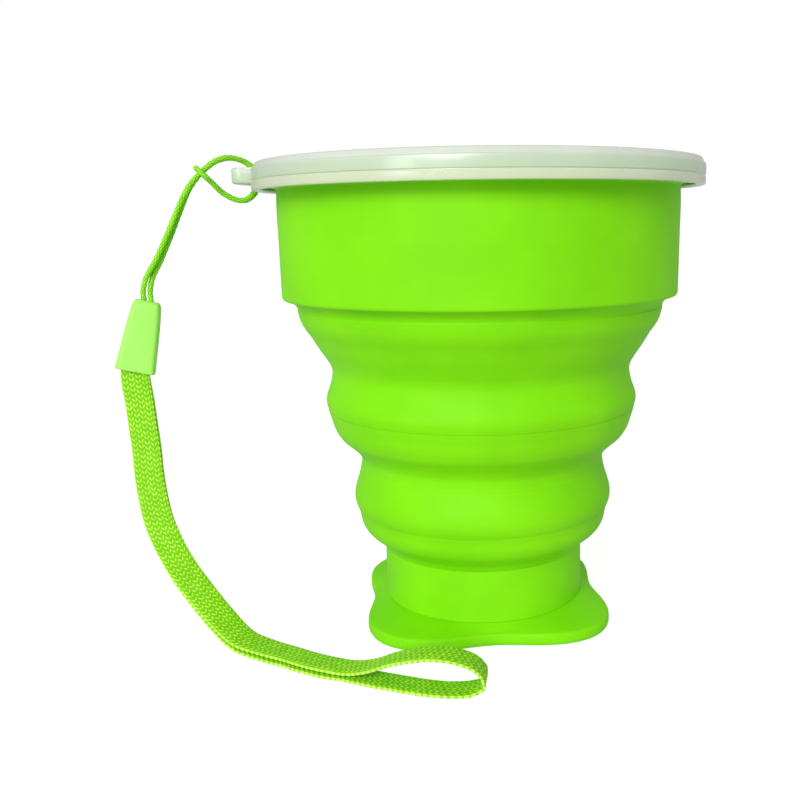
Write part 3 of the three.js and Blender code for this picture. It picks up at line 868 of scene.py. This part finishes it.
yarn, yarn_out = effect("yarn", [("Crown", "NodeSocketFloat"), ("Fibre", "NodeSocketFloat")])
relief = add(yarn, "ShaderNodeAttribute", (0, 0), attribute_name="relief")
place = add(yarn, "ShaderNodeTexCoord", (0, 1))
fibre = add(yarn, "ShaderNodeTexNoise", (1, 1), {"Scale": 3800.0, "Detail": 2.0, "Roughness": 0.65})
uneven = add(yarn, "ShaderNodeTexNoise", (1, 2), {"Scale": 700.0, "Detail": 1.0})
spread = add(yarn, "ShaderNodeMath", (2, 2), {1: 0.55}, operation="MULTIPLY_ADD")
crown = add(yarn, "ShaderNodeMath", (3, 0), operation="SUBTRACT")
for noise in (fibre, uneven):
    yarn.links.new(place.outputs["Object"], noise.inputs["Vector"])
spread.inputs[2].default_value = -0.27
yarn.links.new(uneven.outputs["Fac"], spread.inputs[0])
yarn.links.new(relief.outputs["Fac"], crown.inputs[0])
yarn.links.new(spread.outputs["Value"], crown.inputs[1])
yarn.links.new(crown.outputs["Value"], yarn_out.inputs["Crown"])
yarn.links.new(fibre.outputs["Fac"], yarn_out.inputs["Fibre"])

# %% [markdown]
# Silicone is matte and a little soft to light: some light goes in, spreads a short way and comes
# out again, which keeps the shaded folds bright and saturated. So it gets a little subsurface
# scattering, no clear coat and a broad weak shine.
#
# The lid lets a quarter of the light through, blurred, so the green lip behind it shows as a
# haze, and a thin coat gives it the gloss of moulded plastic. Its colour is painted light in
# bands by height: a cream painted reflection of the green silicone at the foot of the skirt, a
# greener band that paints in the lip showing through close behind, and a nearly white painted
# highlight on the top edge.
#
# The strap and the cord are coloured by their own weave: painted shade darkens the gaps and a
# painted highlight lightens the crowns.


# %% The finishes
def finish(name, **plain):
    """A material, its Principled shader, and its plain constant numbers."""
    material = bpy.data.materials.new(name)
    material.use_nodes = True
    shader = material.node_tree.nodes["Principled BSDF"]
    for socket, value in plain.items():
        shader.inputs[socket.replace("_", " ")].default_value = value
    return material, material.node_tree, shader


def grouped(tree, group, place):
    """A shared effect, placed in a material."""
    return add(tree, "ShaderNodeGroup", place, node_tree=group)


def ramp(tree, place, stops):
    """A colour ramp through (position, colour) stops."""
    node = add(tree, "ShaderNodeValToRGB", place)
    elements = node.color_ramp.elements
    while len(elements) < len(stops):
        elements.new(0.5)
    for element, (position, colour) in zip(elements, stops):
        element.position = position
        element.color = (*colour, 1.0)
    return node


def between(tree, place, low, high):
    """Turns a value from 0 to 1 into one from low to high."""
    return add(tree, "ShaderNodeMapRange", place, {"To Min": low, "To Max": high})


def bumped(tree, place, height, distance, strength):
    """Turns a height that changes over the surface into a tilt of its light."""
    bump = add(tree, "ShaderNodeBump", place, {"Distance": distance, "Strength": strength})
    tree.links.new(height, bump.inputs["Height"])
    return bump


LIME_LOW = (0.2, 0.70, 0.001)
LIME_HIGH = (0.235, 0.77, 0.002)
silicone, tree, shader = finish(
    "lime_silicone", Subsurface_Weight=0.1, Subsurface_Scale=0.0009, Specular_IOR_Level=0.15)
shader.inputs["Subsurface Radius"].default_value = (0.4, 1.0, 0.05)
effects = grouped(tree, mottle, (0, 0))
colour = ramp(tree, (1, 0), [(0.35, LIME_LOW), (0.65, LIME_HIGH)])
rough = between(tree, (1, 1), 0.5, 0.62)
bump = bumped(tree, (1, 2), effects.outputs["Grain"], 0.00003, 0.35)
tree.links.new(effects.outputs["Cloud"], colour.inputs["Fac"])
tree.links.new(effects.outputs["Grain"], rough.inputs["Value"])
tree.links.new(colour.outputs["Color"], shader.inputs["Base Color"])
tree.links.new(rough.outputs["Result"], shader.inputs["Roughness"])
tree.links.new(bump.outputs["Normal"], shader.inputs["Normal"])

milky, tree, shader = finish(
    "milky_lid", Transmission_Weight=0.25, IOR=1.46, Coat_Weight=0.4, Coat_Roughness=0.12)
effects = grouped(tree, mottle, (0, 0))
place = add(tree, "ShaderNodeTexCoord", (-3, 1))
split = add(tree, "ShaderNodeSeparateXYZ", (-2, 1))
lid_heights = {"From Min": LID_BOTTOM * MM, "From Max": LID_TOP * MM}
level = add(tree, "ShaderNodeMapRange", (-1, 1), lid_heights)
# Painted light: a cream reflection at the skirt's foot, the lip seen through, a lit top edge.
lid_painted_light_bands = ramp(tree, (0, 1), [
    (0.0, (0.78, 0.87, 0.60)), (0.30, (0.82, 0.90, 0.66)), (0.37, (0.68, 0.83, 0.58)),
    (0.70, (0.72, 0.86, 0.65)), (0.80, (0.84, 0.92, 0.79)),
])
clouds = ramp(tree, (0, 2), [(0.35, (0.93, 0.93, 0.93)), (0.65, (1.0, 1.0, 1.0))])
colour = add(
    tree, "ShaderNodeMix", (1, 1), {"Factor": 1.0}, data_type="RGBA", blend_type="MULTIPLY")
rough = between(tree, (1, 2), 0.2, 0.32)
tree.links.new(place.outputs["Object"], split.inputs["Vector"])
tree.links.new(split.outputs["Z"], level.inputs["Value"])
tree.links.new(level.outputs["Result"], lid_painted_light_bands.inputs["Fac"])
tree.links.new(effects.outputs["Cloud"], clouds.inputs["Fac"])
tree.links.new(lid_painted_light_bands.outputs["Color"], colour.inputs["A"])
tree.links.new(clouds.outputs["Color"], colour.inputs["B"])
tree.links.new(effects.outputs["Cloud"], rough.inputs["Value"])
tree.links.new(colour.outputs["Result"], shader.inputs["Base Color"])
tree.links.new(rough.outputs["Result"], shader.inputs["Roughness"])

clip_plastic, tree, shader = finish(
    "pale_lime_plastic", Subsurface_Weight=0.15, Subsurface_Scale=0.0015, Specular_IOR_Level=0.4)
effects = grouped(tree, mottle, (0, 0))
colour = ramp(tree, (1, 0), [(0.35, (0.36, 0.82, 0.11)), (0.65, (0.40, 0.87, 0.14))])
rough = between(tree, (1, 1), 0.38, 0.48)
bump = bumped(tree, (1, 2), effects.outputs["Grain"], 0.00002, 0.2)
tree.links.new(effects.outputs["Cloud"], colour.inputs["Fac"])
tree.links.new(effects.outputs["Grain"], rough.inputs["Value"])
tree.links.new(colour.outputs["Color"], shader.inputs["Base Color"])
tree.links.new(rough.outputs["Result"], shader.inputs["Roughness"])
tree.links.new(bump.outputs["Normal"], shader.inputs["Normal"])


def painted_shade_yarn_finish(name, stops):
    """A woven finish: painted shade in the gaps between the yarns, a painted highlight on crowns."""
    material, tree, shader = finish(
        name, Specular_IOR_Level=0.2, Sheen_Weight=0.04, Sheen_Roughness=0.5)
    effects = grouped(tree, yarn, (0, 0))
    colour = ramp(tree, (1, 0), stops)
    rough = between(tree, (1, 1), 0.45, 0.75)
    bump = bumped(tree, (1, 2), effects.outputs["Fibre"], 0.00004, 0.5)
    tree.links.new(effects.outputs["Crown"], colour.inputs["Fac"])
    tree.links.new(effects.outputs["Fibre"], rough.inputs["Value"])
    tree.links.new(colour.outputs["Color"], shader.inputs["Base Color"])
    tree.links.new(rough.outputs["Result"], shader.inputs["Roughness"])
    tree.links.new(bump.outputs["Normal"], shader.inputs["Normal"])
    return material


# Each ramp runs from painted shade in the gaps to a painted highlight on the crowns.
webbing = painted_shade_yarn_finish("lime_webbing", [
    (0.0, (0.17, 0.54, 0.001)), (0.5, (0.31, 0.74, 0.003)), (0.9, (0.68, 1.0, 0.16)),
])
cord_yarn = painted_shade_yarn_finish("lime_cord", [
    (0.0, (0.11, 0.45, 0.001)), (0.5, (0.21, 0.66, 0.004)), (0.95, (0.42, 0.90, 0.06)),
])

for pieces, material in (
    (silicone_skins + [silicone_foot], silicone),
    ([lid], milky),
    ([strap_clip_shell], clip_plastic),
    ([strap_front, strap_back], webbing),
    ([cord, cord_knot_tied], cord_yarn),
):
    for piece in pieces:
        piece.data.materials.clear()
        piece.data.materials.append(material)
print("finishes:", [m.name for m in bpy.data.materials if m.users])

# %% [markdown]
# Now the foot and the pieces hung from the lid are told what they move with, and the parts of the
# imported model that they replace are hidden. The three skins stay where they were built. The foot
# goes with the base. The lid, the clip, the knot, the cord and the strap all go with the lid,
# because they are tied to its tab.

# %% The skins set in place, and what the other pieces move with
for skin, upper, lower, start, end, nodes in (
    (upper_skin, "rim", "upper_ring", 59.5, 47.2, ("rim_lip", "rim_band", "upper_web", "ring_upper")),
    (middle_skin, "upper_ring", "lower_ring", 38.5, 29.2, ("middle_web", "ring_lower")),
    (base_skin, "lower_ring", "base", 18.5, 11.8, ("lower_web", "base_cup")),
):
    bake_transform(skin)
    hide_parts(*nodes)
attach(silicone_foot, "base")
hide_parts("foot")

for piece, slot_name, nodes in (
    (lid, "milky_lid", ("lid", "lid_tab")),
    (strap_clip_shell, "clip_plastic", ("strap_clip",)),
    (cord_knot_tied, "cord_yarn", ("cord_knot",)),
    (cord, "cord_yarn", ("wrist_cord",)),
    (strap_front, "webbing_yarn", ("wrist_webbing",)),
    (strap_back, "webbing_yarn", ("wrist_webbing",)),
):
    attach(piece, "lid")
    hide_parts(*nodes)

# %% [markdown]
# The cup stands on a white table that glows a little, as the tables for product pictures do, so
# the shadows on it stay faint. The main light comes from the front, above and a little to the
# left. It is broad enough to be soft, and leaves the right side of each ring a little darker,
# which shows that it is round. A tall panel on the left puts a soft gleam on the lid's edge, and
# a pale room fills in the rest.
#
# The room looks pure white to the camera, and lights the cup with half of that. The table does
# the same: it looks white, but sends less light up, so the undersides of the rings stay deep.

# %% The floor and the light
FLOOR_HALF = 30.0
FLOOR_DROP = 2e-5
TABLE_TONES = (
    # row in the node view, socket, how it lights the cup, how it looks
    (0, "Base Color", 0.5, 0.3),
    (1, "Emission Color", 0.2, 0.85),
)
floor_mesh = bpy.data.meshes.new("floor")
floor_corners = [
    (x * FLOOR_HALF, y * FLOOR_HALF, -FLOOR_DROP) for x, y in ((-1, -1), (1, -1), (1, 1), (-1, 1))
]
floor_mesh.from_pydata(floor_corners, [], [(0, 1, 2, 3)])
floor = bpy.data.objects.new("floor", floor_mesh)
bpy.context.scene.collection.objects.link(floor)
paper, tree, shader = finish(
    "glowing_table", Roughness=0.9, Specular_IOR_Level=0.1, Emission_Strength=1.0)
seen = add(tree, "ShaderNodeLightPath", (-2, 0))
for row, socket, lights_cup, looks in TABLE_TONES:
    shade = add(tree, "ShaderNodeMix", (-1, row), data_type="RGBA")
    shade.inputs["A"].default_value = (lights_cup, lights_cup, lights_cup, 1)
    shade.inputs["B"].default_value = (looks, looks, looks, 1)
    tree.links.new(seen.outputs["Is Camera Ray"], shade.inputs["Factor"])
    tree.links.new(shade.outputs["Result"], shader.inputs[socket])
floor_mesh.materials.append(paper)

ROOM_LIGHT = 0.5
world = bpy.data.worlds.new("studio")
world.use_nodes = True
tree = world.node_tree
room = tree.nodes["Background"]
room.inputs["Strength"].default_value = ROOM_LIGHT
backdrop = add(tree, "ShaderNodeBackground", (0, 1), {"Strength": 1.0})
for background in (room, backdrop):
    background.inputs["Color"].default_value = (1.0, 1.0, 1.0, 1)
seen = add(tree, "ShaderNodeLightPath", (0, 2))
choice = add(tree, "ShaderNodeMixShader", (1, 1))
tree.links.new(seen.outputs["Is Camera Ray"], choice.inputs["Fac"])
tree.links.new(room.outputs["Background"], choice.inputs[1])
tree.links.new(backdrop.outputs["Background"], choice.inputs[2])
tree.links.new(choice.outputs["Shader"], tree.nodes["World Output"].inputs["Surface"])
bpy.context.scene.world = world


def lamp_object(name, lamp, place, target):
    """A lamp at place, facing target."""
    box = bpy.data.objects.new(name, lamp)
    box.location = place
    box.rotation_euler = (Vector(target) - Vector(place)).to_track_quat("-Z", "Y").to_euler()
    bpy.context.scene.collection.objects.link(box)
    return box


KEY_STRENGTH = 1.9
KEY_PLACE = (-0.42, -1.48, 0.86)
CUP_MIDDLE = (0, 0, 0.04)
GLINT_PLACE = (-0.42, -0.6, 0.22)
LID_EDGE = (0, 0, 0.07)
key = bpy.data.lights.new("key", "SUN")
key.energy = KEY_STRENGTH
key.angle = math.radians(28)
lamp_object("key", key, KEY_PLACE, CUP_MIDDLE)
glint = bpy.data.lights.new("glint", "AREA")
glint.shape = "RECTANGLE"
glint.size = 0.16
glint.size_y = 0.4
glint.energy = 0.8
lamp_object("glint", glint, GLINT_PLACE, LID_EDGE)
bpy.context.scene.view_settings.view_transform = "Standard"
